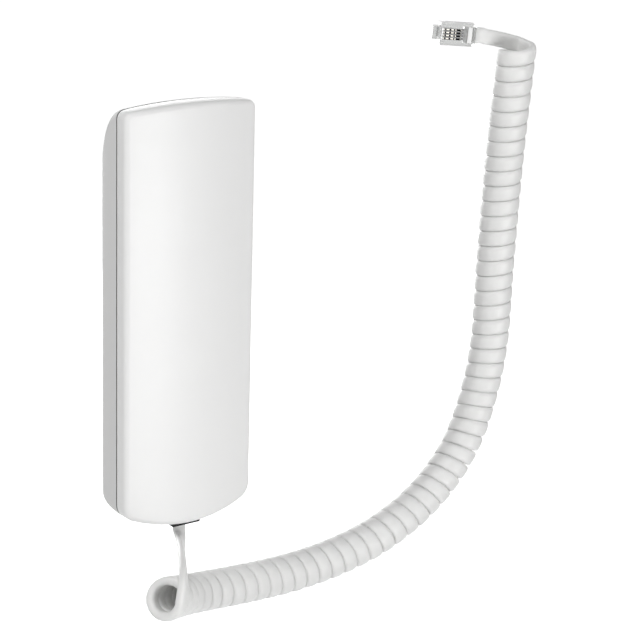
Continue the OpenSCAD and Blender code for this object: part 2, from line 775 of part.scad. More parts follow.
front_shell();
rear_shell();
earpiece_cloth();
receiver_gasket();
receiver_frame();
receiver_diaphragm();
receiver_voice_coil();
receiver_pole_plate();
receiver_magnet();
receiver_yoke();
receiver_pad();
receiver_leads();
microphone_cloth();
microphone_boot();
microphone_capsule();
microphone_leads();
ballast_weight();
upper_case_screw();
lower_case_screw();
cord_socket();
socket_contacts();
socket_board();
handset_plug_body();
handset_plug_contacts();
handset_plug_latch();
cord_tail_handset();
cord_curl();
cord_tail_plug();
line_plug_body();
line_plug_contacts();
line_plug_latch();
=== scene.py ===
"""Looks of an audio intercom handset: its camera, curly cord, shells, plugs, finishes and studio."""
import math

import bmesh
import bpy
from mathutils import Matrix, Vector


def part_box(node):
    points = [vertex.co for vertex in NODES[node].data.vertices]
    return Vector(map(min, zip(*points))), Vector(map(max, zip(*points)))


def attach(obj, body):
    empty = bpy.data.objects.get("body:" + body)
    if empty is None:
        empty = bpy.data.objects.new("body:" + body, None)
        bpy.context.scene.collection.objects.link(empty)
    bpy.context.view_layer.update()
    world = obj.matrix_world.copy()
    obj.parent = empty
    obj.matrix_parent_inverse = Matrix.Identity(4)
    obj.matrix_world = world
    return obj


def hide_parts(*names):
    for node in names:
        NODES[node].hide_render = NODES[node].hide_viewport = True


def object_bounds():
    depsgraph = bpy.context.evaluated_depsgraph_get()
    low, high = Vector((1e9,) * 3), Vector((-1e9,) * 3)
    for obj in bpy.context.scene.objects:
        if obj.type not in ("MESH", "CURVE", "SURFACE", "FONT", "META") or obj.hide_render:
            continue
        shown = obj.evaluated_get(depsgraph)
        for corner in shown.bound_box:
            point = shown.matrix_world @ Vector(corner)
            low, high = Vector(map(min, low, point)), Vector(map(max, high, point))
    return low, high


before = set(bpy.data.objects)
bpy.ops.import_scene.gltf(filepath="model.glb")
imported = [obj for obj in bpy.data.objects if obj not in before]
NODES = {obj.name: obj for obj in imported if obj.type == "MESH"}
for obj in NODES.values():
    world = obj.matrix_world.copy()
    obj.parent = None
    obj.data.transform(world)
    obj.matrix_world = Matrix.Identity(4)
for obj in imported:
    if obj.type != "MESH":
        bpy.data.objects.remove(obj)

CAD_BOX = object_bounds()
MM = 0.001


def mm(*values):
    """A point or a size given in millimetres, in metres."""
    return Vector(values) * MM


def cos_sin(degrees):
    a = math.radians(degrees)
    return math.cos(a), math.sin(a)


def direction(azimuth, elevation):
    """Where something stands, seen from the part: azimuth 0 is in front, 90 on its +X side."""
    a, e = math.radians(azimuth), math.radians(elevation)
    return Vector((math.sin(a) * math.cos(e), -math.cos(a) * math.cos(e), math.sin(e)))


# Camera: the photograph's viewing angle; the photograph is 642 x 642 pixels

VIEW_AZIMUTH, VIEW_ELEVATION, VIEW_ROLL = -36.57, 16.12, 1.55
CAMERA_AT = mm(-375.9, -595.1, 198.8)
LENS, SENSOR_WIDTH = 123.36, 36
NEAREST, FARTHEST = 0.01, 20


def make_camera():
    a, r = math.radians(VIEW_AZIMUTH), math.radians(VIEW_ROLL)
    back = direction(VIEW_AZIMUTH, VIEW_ELEVATION)
    level = Vector((math.cos(a), math.sin(a), 0))
    upright = back.cross(level)
    right = level * math.cos(r) + upright * math.sin(r)
    data = bpy.data.cameras.new("camera")
    data.lens, data.sensor_width = LENS, SENSOR_WIDTH
    data.clip_start, data.clip_end = NEAREST, FARTHEST
    camera = bpy.data.objects.new("camera", data)
    turn = Matrix((right, back.cross(right), back)).transposed()
    camera.matrix_world = Matrix.Translation(CAMERA_AT) @ turn.to_4x4()
    bpy.context.scene.collection.objects.link(camera)
    bpy.context.scene.camera = camera


make_camera()


# Mesh helpers

# Edges that turn by more than these angles, in degrees, stay sharp or get rounded off
SHARP_FROM, ROUND_SHARP_FROM, BEVEL_FROM = 32, 60, 40
EDGE_STEPS = 2


def mesh_piece(name, points, faces):
    mesh = bpy.data.meshes.new(name)
    mesh.from_pydata([tuple(p) for p in points], [], faces)
    mesh.validate()
    piece = bpy.data.objects.new(name, mesh)
    bpy.context.scene.collection.objects.link(piece)
    return piece


def ring_faces(rings, n):
    """Faces that join a count of rings with n points each, and a cap at both ends."""
    faces = [(k * n + i, k * n + (i + 1) % n, (k + 1) * n + (i + 1) % n, (k + 1) * n + i)
             for k in range(rings - 1) for i in range(n)]
    last = (rings - 1) * n
    return faces + [tuple(range(n))[::-1], tuple(last + i for i in range(n))]


def loft(name, rings):
    """A closed solid through rings with equal counts of points."""
    piece = mesh_piece(name, [p for ring in rings for p in ring], ring_faces(len(rings), len(rings[0])))
    face_outwards(piece)
    return piece


def face_outwards(piece):
    bm = bmesh.new()
    bm.from_mesh(piece.data)
    bmesh.ops.recalc_face_normals(bm, faces=bm.faces)
    bm.to_mesh(piece.data)
    bm.free()


def smooth(piece, angle=SHARP_FROM):
    piece.data.shade_smooth()
    piece.data.set_sharp_from_angle(angle=math.radians(angle))


def turned(profile, at, segments=40):
    """Points and faces of a solid turned about an axis along Y through at, from [radius, y] pairs."""
    points = []
    for radius, y in profile:
        for k in range(segments):
            a = 2 * math.pi * k / segments
            points.append(Vector((at[0] + radius * math.cos(a), y, at[2] + radius * math.sin(a))))
    return points, ring_faces(len(profile), segments)


def block(low, high):
    """Points and faces of a box between two corners."""
    xs, ys, zs = zip(low, high)
    points = [Vector((x, y, z)) for z in zs for y in ys for x in xs]
    faces = [(0, 2, 3, 1), (4, 5, 7, 6), (0, 1, 5, 4), (2, 6, 7, 3), (0, 4, 6, 2), (1, 3, 7, 5)]
    return points, faces


def joined(name, solids):
    """One piece from several lists of points and faces."""
    points, faces = [], []
    for p, f in solids:
        faces += [tuple(i + len(points) for i in face) for face in f]
        points += p
    piece = mesh_piece(name, points, faces)
    face_outwards(piece)
    return piece


def settle(piece):
    """Puts what the modifiers make into the mesh itself."""
    made = bpy.data.meshes.new_from_object(piece.evaluated_get(bpy.context.evaluated_depsgraph_get()))
    piece.modifiers.clear()
    piece.data = made


def carve(piece, *cutters, operation="DIFFERENCE"):
    """Cuts solids out of a piece, or joins them to it, one list of separate solids at a time."""
    for solids in cutters:
        cutter = joined("cutter", solids)
        cut = piece.modifiers.new("cut", "BOOLEAN")
        cut.operation, cut.solver, cut.object = operation, "EXACT", cutter
        settle(piece)
        bpy.data.objects.remove(cutter)


def round_edges(piece, radius):
    bevel = piece.modifiers.new("edges", "BEVEL")
    bevel.width, bevel.segments = radius, EDGE_STEPS
    bevel.limit_method, bevel.angle_limit = "ANGLE", math.radians(BEVEL_FROM)
    settle(piece)


def finish_piece(piece, material, slot, body, *stands_for):
    piece.data.materials.clear()
    piece.data.materials.append(material)
    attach(piece, body)
    if stands_for:
        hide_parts(*stands_for)


# Finishes: each is made of nodes in object space, in metres

# Most values of a noise lie between these two
NOISE_LOW, NOISE_HIGH = 0.3, 0.7
TONE_GRAIN, GLOSS_GRAIN = 9 * MM, 3 * MM
STREAK_SCALE, STREAK_CONTRAST = (4000, 4000, 300), 0.12
# Length of one wave in a wave texture whose scale is 1
WAVE_LENGTH = 0.314
CLOTH_ROUGHNESS, WEAVE_CONTRAST, WEAVE_RELIEF = 0.9, 0.6, 0.3


def node_material(name):
    material = bpy.data.materials.new(name)
    material.use_nodes = True
    tree = material.node_tree
    return material, tree, tree.nodes["Principled BSDF"]


def add(tree, kind, **values):
    made = tree.nodes.new("ShaderNode" + kind)
    for key, value in values.items():
        if hasattr(made, key):
            setattr(made, key, value)
        else:
            made.inputs[key].default_value = value
    return made


def grain(tree, size, detail=3.0):
    """Noise whose grains are about one size across."""
    place = add(tree, "TexCoord")
    noise = add(tree, "TexNoise", Scale=1 / size, Detail=detail, Roughness=0.55)
    tree.links.new(place.outputs["Object"], noise.inputs["Vector"])
    return noise.outputs["Fac"]


def spread(tree, source, low, high):
    """The usual range of a noise, stretched to a range of values."""
    span = add(tree, "MapRange", clamp=True)
    ends = {"From Min": NOISE_LOW, "From Max": NOISE_HIGH, "To Min": low, "To Max": high}
    for key, value in ends.items():
        span.inputs[key].default_value = value
    tree.links.new(source, span.inputs["Value"])
    return span.outputs["Result"]


def mottle(tree, shader, colour, source, amount):
    """Colour that varies a little over the surface."""
    mix = add(tree, "Mix", data_type="RGBA")
    mix.inputs["A"].default_value = (*[c * (1 - amount) for c in colour], 1)
    mix.inputs["B"].default_value = (*colour, 1)
    tree.links.new(source, mix.inputs["Factor"])
    tree.links.new(mix.outputs["Result"], shader.inputs["Base Color"])


def relief(tree, shader, source, height):
    bump = add(tree, "Bump", Strength=1.0, Distance=height)
    tree.links.new(source, bump.inputs["Height"])
    tree.links.new(bump.outputs["Normal"], shader.inputs["Normal"])


def moulded(name, colour, roughness=(0.32, 0.42), texture=0.25 * MM, depth=0.004 * MM, mottled=0.015,
            **sockets):
    """Moulded plastic or rubber: a fine spark texture and slightly uneven gloss."""
    material, tree, shader = node_material(name)
    mottle(tree, shader, colour, grain(tree, TONE_GRAIN), mottled)
    tree.links.new(spread(tree, grain(tree, GLOSS_GRAIN), *roughness), shader.inputs["Roughness"])
    relief(tree, shader, grain(tree, texture, 2), depth)
    for key, value in sockets.items():
        shader.inputs[key.replace("_", " ")].default_value = value
    return material


def paint_seam_shadow(material, low, high, shade):
    """Painted shadow in the seam of the case: a darker colour between two depths."""
    tree = material.node_tree
    shader = tree.nodes["Principled BSDF"]
    plain = shader.inputs["Base Color"].links[0].from_socket
    place, part = add(tree, "TexCoord"), add(tree, "SeparateXYZ")
    tree.links.new(place.outputs["Object"], part.inputs["Vector"])
    inside = add(tree, "Math", operation="COMPARE")
    tree.links.new(part.outputs["Y"], inside.inputs[0])
    inside.inputs[1].default_value, inside.inputs[2].default_value = (low + high) / 2, (high - low) / 2
    mix = add(tree, "Mix", data_type="RGBA")
    tree.links.new(inside.outputs["Value"], mix.inputs["Factor"])
    tree.links.new(plain, mix.inputs["A"])
    mix.inputs["B"].default_value = (*shade, 1)
    tree.links.new(mix.outputs["Result"], shader.inputs["Base Color"])


def metal(name, colour, roughness=(0.22, 0.38)):
    """Rolled or drawn metal with fine streaks along its length."""
    material, tree, shader = node_material(name)
    shader.inputs["Metallic"].default_value = 1
    place = add(tree, "TexCoord")
    along = add(tree, "Mapping")
    along.inputs["Scale"].default_value = STREAK_SCALE
    streaks = add(tree, "TexNoise", Scale=1, Detail=2)
    tree.links.new(place.outputs["Object"], along.inputs["Vector"])
    tree.links.new(along.outputs["Vector"], streaks.inputs["Vector"])
    mottle(tree, shader, colour, streaks.outputs["Fac"], STREAK_CONTRAST)
    tree.links.new(spread(tree, streaks.outputs["Fac"], *roughness), shader.inputs["Roughness"])
    return material


def woven(name, colour, thread):
    """Plain-weave dust cloth: two sets of threads across each other."""
    material, tree, shader = node_material(name)
    shader.inputs["Roughness"].default_value = CLOTH_ROUGHNESS
    place = add(tree, "TexCoord")
    sets = []
    for axis in ("X", "Z"):
        wave = add(tree, "TexWave", bands_direction=axis, Scale=WAVE_LENGTH / thread, Distortion=0.4)
        tree.links.new(place.outputs["Object"], wave.inputs["Vector"])
        sets.append(wave.outputs["Fac"])
    weave = add(tree, "Math", operation="MULTIPLY")
    for source, socket in zip(sets, weave.inputs):
        tree.links.new(source, socket)
    mottle(tree, shader, colour, weave.outputs["Value"], WEAVE_CONTRAST)
    relief(tree, shader, weave.outputs["Value"], thread * WEAVE_RELIEF)
    return material


# The second colour here is painted shade: the rear shell, which faces away from the lamps, gets a greyer copy
# of the case's white.
# The third colour here is painted shadow for the groove of the seam.
WHITE, REAR_WHITE_PAINTED_SHADE, SEAM_PAINTED_SHADOW = (0.86, 0.86, 0.855), (0.774, 0.774, 0.769), (0.2, 0.2, 0.2)
CASE = moulded("case_plastic", WHITE, roughness=(0.34, 0.4), texture=0.3 * MM)
# Rear shell: its greyer colour is painted shade
CASE_REAR = moulded("case_rear_plastic", REAR_WHITE_PAINTED_SHADE, roughness=(0.46, 0.54), texture=0.3 * MM,
                    Specular_IOR_Level=0.25)
JACKET = moulded("cord_jacket", (0.83, 0.83, 0.82), roughness=(0.38, 0.44), texture=0.5 * MM,
                 depth=0.003 * MM, Specular_IOR_Level=0.4, Subsurface_Weight=0.8,
                 Subsurface_Radius=(1, 1, 1), Subsurface_Scale=3 * MM)
DARK = moulded("dark_plastic", (0.012, 0.012, 0.013), roughness=(0.5, 0.6), mottled=0.1,
               Specular_IOR_Level=0.15)
RUBBER = moulded("soft_rubber", (0.025, 0.025, 0.027), roughness=(0.6, 0.8), mottled=0.2)
WIRE = moulded("wire_jacket", (0.008, 0.008, 0.009), roughness=(0.6, 0.7), mottled=0.1,
               Specular_IOR_Level=0.1)
RED_LEAD = moulded("red_lead_jacket", (0.42, 0.045, 0.03), mottled=0.1)
BLUE_LEAD = moulded("blue_lead_jacket", (0.03, 0.11, 0.38), mottled=0.1)
BOARD = moulded("circuit_board", (0.03, 0.15, 0.06), roughness=(0.3, 0.5), mottled=0.3)
FILM = moulded("film", (0.6, 0.38, 0.08), roughness=(0.15, 0.25), mottled=0.05)
CLOTH = woven("dust_cloth", (0.05, 0.05, 0.055), 0.25 * MM)
COPPER = metal("copper", (0.72, 0.33, 0.16))
STEEL = metal("steel", (0.55, 0.56, 0.58))
GOLD = metal("contact_metal", (0.6, 0.585, 0.54), roughness=(0.2, 0.35))
CLEAR = moulded("clear_plastic", (0.68, 0.685, 0.68), roughness=(0.08, 0.16), texture=0.8 * MM,
                mottled=0.03, Transmission_Weight=0.7, IOR=1.49)
FROSTED = moulded("frosted_plastic", (0.9, 0.9, 0.895), roughness=(0.4, 0.5), mottled=0.03,
                  Specular_IOR_Level=0.3)


# Cord: one flat, curly tube from the handset's plug to the line plug

CORD_WIDTH, TAIL_WIDTH, CORD_T, CURL_T = 5.4 * MM, 4.1 * MM, 2.4 * MM, 3 * MM
CURL_D, SLACK_CURL_D, SLACK_LENGTH = 13 * MM, 14 * MM, 24 * MM
CURLS, CURL_START, CURL_END, CURL_STEPS = 54, -105, -10, 20
CORD_HOLE_DEPTH = 4 * MM
# A curl is at most this many pitches wide, so that it presses into its neighbours
OVERLAP = 1.12
# Shares of the tails: where each one's width turns, and how much of it grows to the curls' thickness
HANDSET_TURN, HANDSET_HOLD, PLUG_TURN, SWELL = (0.25, 0.6), 0.8, (0.25, 0.65), 0.3
AXIS_STEPS, TAIL_STEPS, WIRE_STEPS = 12, 6, 5
# The coil's direction is taken over this length to either side
PROBE = 1.5 * MM
# The route is given in millimetres from the middle of the lower end, at the plug's height
CORD_FROM = mm(0, -11.1, -71)
LINE_PLUG_AT, LINE_PLUG_YAW, LINE_PLUG_LIFT = CORD_FROM + mm(112, -9.6, 156), 156, 4
CURL_AXIS = (
    (-26.5, -33.5, -12), (-8.5, -22.5, -18), (15, -19, -21), (36, -17.5, -22), (56, -17.5, -20),
    (74, -18, -15), (92, -17.5, -6), (106.5, -16.5, 7), (115.5, -15.5, 23), (121.5, -14.5, 45),
    (123.5, -13.5, 75.5), (125, -14, 113.5), (125, -17.5, 151))
HANDSET_TAIL = (
    (0, 0, 4.5), (0, 0, 2.5), (0, 0, 0.5), (0, 0, -1.5), (0, 0, -4), (-0.8, -1.9, -6.5),
    (-3.5, -6.6, -7.3), (-7.7, -13.7, -6.8), (-12.1, -20.9, -5.8), (-16.3, -27.8, -4.9),
    (-19.7, -33.5, -4.9), (-22, -37.4, -6.8))
PLUG_TAIL = (
    (130.4, -15.7, 151.2), (129.3, -12.8, 152), (125.3, -11.4, 153.2), (120.4, -11.2, 154.4),
    (116, -10.9, 155.3))


def from_socket(route):
    return [CORD_FROM + mm(*p) for p in route]


def curve_through(points, steps):
    """A smooth curve through the points, with a number of steps between each two."""
    line, n = [], len(points)
    for i in range(n - 1):
        b, c = points[i], points[i + 1]
        a = points[i - 1] if i else 2 * b - c
        d = points[i + 2] if i < n - 2 else 2 * c - b
        linear, square, cube = c - a, 2 * a - 5 * b + 4 * c - d, 3 * b - a - 3 * c + d
        for k in range(steps):
            t = k / steps
            line.append(b + (linear * t + square * t ** 2 + cube * t ** 3) / 2)
    return line + [points[-1]]


def running_lengths(line):
    sums = [0.0]
    for a, b in zip(line, line[1:]):
        sums.append(sums[-1] + (b - a).length)
    return sums


def at_length(line, sums, s):
    """The point at a running length along a line."""
    s = min(max(s, 0), sums[-1])
    i = next(k for k in range(1, len(sums)) if sums[k] >= s)
    share = (s - sums[i - 1]) / (sums[i] - sums[i - 1])
    return line[i - 1].lerp(line[i], share)


def curl_frames():
    """Place, outward and axial directions along the curls."""
    line = curve_through(from_socket(CURL_AXIS), AXIS_STEPS)
    sums = running_lengths(line)
    sweep = 360 * CURLS + CURL_END - CURL_START
    count = round(sweep / 360 * CURL_STEPS)
    frames = []
    for i in range(count + 1):
        s = sums[-1] * i / count
        along = (at_length(line, sums, s + PROBE) - at_length(line, sums, s - PROBE)).normalized()
        side = Vector((0, 1, 0)).cross(along).normalized()
        turn = math.radians(CURL_START + sweep * i / count)
        slack = max(0, 1 - s / SLACK_LENGTH) ** 2
        radius = (CURL_D + (SLACK_CURL_D - CURL_D) * slack - CORD_T) / 2
        out = side * math.cos(turn) + along.cross(side) * math.sin(turn)
        frames.append((at_length(line, sums, s) + radius * out, out, along))
    return frames


def width_at(share, turns):
    """Direction of the cord's width at a share of a tail, from pairs of a share and a direction."""
    for (s0, d0), (s1, d1) in zip(turns, turns[1:]):
        if share <= s1:
            return d0.lerp(d1, max(0, (share - s0) / (s1 - s0)))
    return turns[-1][1]


def tail_frames(line, turns):
    """Frames along a tail whose width turns on the way."""
    frames, n = [], len(line) - 1
    for i, point in enumerate(line):
        t = (line[min(i + 1, n)] - line[max(i - 1, 0)]).normalized()
        w = width_at(i / n, turns)
        v = (w - t * w.dot(t)).normalized()
        frames.append((point, t.cross(v), v))
    return frames


def cord_ring(place, thick, wide, width, depth, sides=24, square=3.6):
    """Rounded flat cross-section of the cord."""
    ring = []
    for k in range(sides):
        a = 2 * math.pi * (k + 0.5) / sides
        c, s = math.cos(a), math.sin(a)
        reach = (abs(c) ** square + abs(s) ** square) ** (-1 / square)
        ring.append(place + thick * (depth / 2 * reach * c) + wide * (width / 2 * reach * s))
    return ring


def curl_widths(curls):
    """Width along the curls: they lie side by side, so a tight bend squeezes them a little."""
    widths = []
    for i, (place, _, _) in enumerate(curls):
        beside = [curls[k][0] for k in (i - CURL_STEPS, i + CURL_STEPS) if 0 <= k < len(curls)]
        widths.append(min([CORD_WIDTH] + [OVERLAP * (place - other).length for other in beside]))
    return widths


def line_plug_directions():
    """The ways in which the line plug's length and width point."""
    cos, sin = cos_sin(LINE_PLUG_LIFT)
    level = Matrix.Rotation(math.radians(LINE_PLUG_YAW), 3, "Z") @ Vector((1, 0, 0))
    up = Vector((0, 0, 1))
    return level * cos + up * sin, up * cos - level * sin


def tail_depth(steps_away, steps):
    """Thickness of a tail, some of its steps away from the curls."""
    return CORD_T + (CURL_T - CORD_T) * max(0, 1 - steps_away / (SWELL * steps))


def make_cord():
    curls = curl_frames()
    ahead, across = line_plug_directions()
    first = curve_through(from_socket(HANDSET_TAIL) + [curls[0][0]], TAIL_STEPS)
    entry = [LINE_PLUG_AT + ahead * k for k in (-CORD_WIDTH / 2, 0, CORD_HOLE_DEPTH / 2, CORD_HOLE_DEPTH)]
    last = curve_through([curls[-1][0]] + from_socket(PLUG_TAIL) + entry, TAIL_STEPS)
    level, down = Vector((1, 0, 0)), Vector((0, 0, -1))
    first_turns = [(HANDSET_TURN[0], level), (HANDSET_TURN[1], down), (HANDSET_HOLD, down), (1, curls[0][2])]
    last_turns = [(PLUG_TURN[0], curls[-1][2]), (PLUG_TURN[1], across)]
    before, after = tail_frames(first, first_turns)[:-1], tail_frames(last, last_turns)[1:]
    frames = before + curls + after
    n, m, wider = len(before), len(after), CORD_WIDTH - TAIL_WIDTH
    widths = [TAIL_WIDTH + wider * k / n for k in range(n)] + curl_widths(curls) + [CORD_WIDTH] * m
    depths = [tail_depth(n - k, n) for k in range(n)] + [CURL_T] * len(curls)
    depths += [tail_depth(k, m) for k in range(m)]
    cord = loft("curly_cord", [cord_ring(*place, w, d) for place, w, d in zip(frames, widths, depths)])
    smooth(cord, ROUND_SHARP_FROM)
    finish_piece(cord, JACKET, "cord_jacket", "handset", "cord_tail_handset", "cord_curl", "cord_tail_plug")
    return cord, [place for place, _, _ in frames]


cord, cord_path = make_cord()


# Shells: the same outline and sections as the CAD shells, in finer steps

CASE_LENGTH, CASE_WIDTH = 142 * MM, 49.6 * MM
REAR_DEPTH, FRONT_DEPTH, FACE_CROWN, FACE_FILLET = 12 * MM, 5.1 * MM, 2.5 * MM, 1.7 * MM
TOP_BOW, BOTTOM_BOW, TOP_CORNER, BOTTOM_CORNER = 1.7 * MM, 5.6 * MM, 2.9 * MM, 5.6 * MM
NOSE_DROP, HEEL_DROP, SIDE_DRAW, NOSE_ROUND, REAR_FILLET = 20 * MM, 2.2 * MM, 1.8 * MM, 0.35, 1.5 * MM
WALL, FLOOR_T, TONGUE_T, TONGUE_H = 1.6 * MM, 2.4 * MM, 0.9 * MM, 0.8 * MM
FLAT_STRIP, LEAST_CORNER, LARGEST_CORNER_SHARE = 1 * MM, 0.5 * MM, 0.9
GROOVE_WIDTH, GROOVE_DEPTH = 0.6 * MM, 1.3 * MM
SEAM_EDGE, TONGUE_PLAY, INNER_FILLET, REAR_RIM = 0.15 * MM, 0.1 * MM, 0.6 * MM, 0.4 * MM
REAR_WALL = WALL + TONGUE_T
HALF_WIDTH = CASE_WIDTH / 2
INNER_NOSE_DROP = NOSE_DROP + 4 * WALL
# Rings of the face end here, in a narrow strip along the middle
SPINE_INSET = HALF_WIDTH - 0.8 * FLAT_STRIP
SEAM_Y = -REAR_DEPTH
# How far the painted shadow in the seam goes past the groove's edges
BAND_BEFORE, BAND_AFTER = 0.05 * MM, 0.02 * MM


def end_radius(bow):
    return (HALF_WIDTH ** 2 + bow ** 2) / (2 * bow)


def end_arc(w, centre, r_end, r_corner, corner_steps=9, arc_steps=26):
    """One end of the outline, from its right corner over the bow to the left corner."""
    r = min(max(r_corner, LEAST_CORNER), LARGEST_CORNER_SHARE * w)
    h = math.sqrt((r_end - r) ** 2 - (w - r) ** 2)
    lift = math.atan2(h, w - r)
    corner = []
    for i in range(corner_steps + 1):
        a = lift * i / corner_steps
        corner.append((w - r + r * math.cos(a), centre + h + r * math.sin(a)))
    arc = []
    for i in range(1, arc_steps):
        a = lift + (math.pi - 2 * lift) * i / arc_steps
        arc.append((r_end * math.cos(a), centre + r_end * math.sin(a)))
    return corner + arc + [(-x, z) for x, z in reversed(corner)]


def outline(inset, nose=0.0, heel=0.0, side=0.0):
    """Outline of the case set in, with the upper and lower ends and the sides drawn in further."""
    w, top_r, bottom_r = HALF_WIDTH - inset - side, end_radius(TOP_BOW), end_radius(BOTTOM_BOW)
    half = CASE_LENGTH / 2
    top = end_arc(w, half - top_r - nose, top_r - inset, TOP_CORNER - inset + nose * NOSE_ROUND)
    bottom = end_arc(w, half - bottom_r - heel, bottom_r - inset, BOTTOM_CORNER - inset + heel * NOSE_ROUND)
    return top + [(-x, -z) for x, z in bottom]


def front_ring(inset, depth):
    """Ring of the front shell at a depth from the seam, crowned towards the middle."""
    def crown(x):
        k = max(abs(x) - FLAT_STRIP, 0) / (HALF_WIDTH - FLAT_STRIP)
        return FACE_CROWN * (1 - k * k)
    return [Vector((x, SEAM_Y - depth - crown(x) * depth / FRONT_DEPTH, z)) for x, z in outline(inset)]


def rear_ring(inset, sweep, nose=NOSE_DROP):
    """Ring of the tub, from a sweep of 0 degrees at the seam to 90 at the flat rear face."""
    c, s = cos_sin(sweep)
    k = 1 - c
    drawn_in = outline(inset, nose * k, HEEL_DROP * k, SIDE_DRAW * k)
    return [Vector((x, SEAM_Y + REAR_DEPTH * s, z)) for x, z in drawn_in]


def rear_inset(sweep):
    """How far the round edge of the rear face draws a ring in."""
    q = max(0, 1 - REAR_DEPTH * (1 - math.sin(math.radians(sweep))) / REAR_FILLET)
    return REAR_FILLET * (1 - math.sqrt(1 - q * q))


def level_ring(inset, height):
    """Flat ring at a height in front of the seam."""
    return [Vector((x, SEAM_Y - height, z)) for x, z in outline(inset)]


def front_rings(inner_steps=6, face_steps=16):
    """Rings of the front shell, from the middle of its inside round the seam to the middle of its face."""
    inner_depth, inner_edge = FRONT_DEPTH - WALL, WALL + INNER_FILLET
    inside, face = inner_edge - SPINE_INSET, SPINE_INSET - FACE_FILLET
    rings = [front_ring(SPINE_INSET + inside * k / inner_steps, inner_depth) for k in range(inner_steps)]
    for c, s in map(cos_sin, range(90, -1, -15)):
        rings.append(front_ring(WALL + INNER_FILLET * (1 - c), inner_depth - INNER_FILLET + INNER_FILLET * s))
    rings += [front_ring(WALL, 0), front_ring(SEAM_EDGE, 0)]
    for c, s in map(cos_sin, (30, 60, 90)):
        rings.append(front_ring(SEAM_EDGE * (1 - s), SEAM_EDGE * (1 - c)))
    for c, s in map(cos_sin, range(0, 91, 6)):
        rings.append(front_ring(FACE_FILLET * (1 - c), FRONT_DEPTH - FACE_FILLET + FACE_FILLET * s))
    rings += [front_ring(FACE_FILLET + face * k / face_steps, FRONT_DEPTH) for k in range(1, face_steps + 1)]
    return rings


def rear_rings(inner_steps=10):
    """Rings of the rear shell, from its inner floor over the tongue and the groove to its rear face."""
    floor_sweep, tongue = math.degrees(math.asin(1 - FLOOR_T / REAR_DEPTH)), WALL + TONGUE_PLAY
    inner_sweeps = [floor_sweep * k / inner_steps for k in range(inner_steps, -1, -1)]
    outer_sweeps = [*range(8, 51, 6), 55, 59, *range(62, 91, 2)]
    rings = [rear_ring(REAR_WALL, a, INNER_NOSE_DROP) for a in inner_sweeps]
    rings += [level_ring(REAR_WALL, TONGUE_H), level_ring(tongue, TONGUE_H), level_ring(tongue, 0)]
    rings += [level_ring(GROOVE_DEPTH, 0), level_ring(GROOVE_DEPTH, -GROOVE_WIDTH)]
    for c, s in map(cos_sin, (0, 30, 60, 90)):
        rings.append(level_ring(SEAM_EDGE * (1 - s), -GROOVE_WIDTH - SEAM_EDGE * (1 - c)))
    rings += [rear_ring(rear_inset(a), a) for a in outer_sweeps]
    rings.append(rear_ring(rear_inset(90) + REAR_RIM, 90))
    return rings


EAR_AT, MIC_AT = mm(0, 0, 33.5), mm(0, 0, -45)
EAR_RECESS_D, EAR_RECESS_DEPTH = 30 * MM, 1 * MM
SOUND_HOLE_D, SOUND_HOLE_PITCH, SOUND_HOLE_RINGS = 1.6 * MM, 4 * MM, 2
MIC_HOLE_D, MIC_HOLE_PITCH = 1.4 * MM, 3 * MM
SCREW_WELL_D, SCREW_WELL_DEPTH = 5.6 * MM, 4.4 * MM
RIM, WIDE_RIM = 0.2 * MM, 0.3 * MM
SOCKET_OPENING, SOCKET_PLAY, SOCKET_CUT = 10.6 * MM, 0.15 * MM, 5 * MM
# Solids that cut or join reach this far past the surface
PAST = 1 * MM


def hole(diameter, at, face_y, floor_y, rim=RIM):
    """Cutter for a round hole along Y, with a small chamfer at its rim."""
    r = diameter / 2
    return turned([(r + rim, face_y + PAST), (r + rim, face_y), (r, face_y - rim), (r, floor_y)], at)


def socket_opening():
    low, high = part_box("cord_socket")
    half = SOCKET_OPENING / 2 + SOCKET_PLAY
    return block((-half, low.y - SOCKET_PLAY, low.z - SOCKET_CUT),
                 (half, high.y + SOCKET_PLAY, high.z + SOCKET_PLAY))


def make_shells():
    front = loft("case_front", front_rings())
    carve(front, [socket_opening()])
    smooth(front)
    finish_piece(front, CASE, "case_front", "handset", "front_shell")

    rear = loft("case_rear", rear_rings())
    screws = [sum(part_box(name), Vector()) / 2 for name in ("upper_case_screw", "lower_case_screw")]
    inside = -FLOOR_T - PAST
    wells = [hole(SCREW_WELL_D, at, 0, -SCREW_WELL_DEPTH, WIDE_RIM) for at in screws]
    recess = hole(EAR_RECESS_D, EAR_AT, 0, -EAR_RECESS_DEPTH, WIDE_RIM)
    mic_places = [MIC_AT + Vector((k * MIC_HOLE_PITCH, 0, 0)) for k in (-1, 0, 1)]
    mic_holes = [hole(MIC_HOLE_D, at, 0, inside) for at in mic_places]
    ear_holes = [hole(SOUND_HOLE_D, EAR_AT, -EAR_RECESS_DEPTH, inside)]
    for ring in range(1, SOUND_HOLE_RINGS + 1):
        for k in range(6 * ring):
            c, s = cos_sin(60 * k / ring)
            at = EAR_AT + Vector((c, 0, -s)) * ring * SOUND_HOLE_PITCH
            ear_holes.append(hole(SOUND_HOLE_D, at, -EAR_RECESS_DEPTH, inside))
    carve(rear, [recess, *wells, *mic_holes, socket_opening()], ear_holes)
    smooth(rear)
    # Painted shadow: the seam's groove is coloured dark to stand in for the shade inside it
    paint_seam_shadow(CASE_REAR, SEAM_Y - BAND_BEFORE, SEAM_Y + GROOVE_WIDTH + BAND_AFTER, SEAM_PAINTED_SHADOW)
    finish_piece(rear, CASE_REAR, "case_rear", "handset", "rear_shell")


make_shells()


# Plugs: each lies along +Z from its cord entry, with its contacts towards -Y and its lever on +Y

PLUG_WIDTH, PLUG_HEIGHT, PLUG_LENGTH, PLUG_SUNK = 7.65 * MM, 5.6 * MM, 12.5 * MM, 0.5 * MM
NOSE_LENGTH, NOSE_WIDTH, NOSE_HEIGHT, NOSE_STEP = 2 * MM, 4.6 * MM, 2.2 * MM, 0.2 * MM
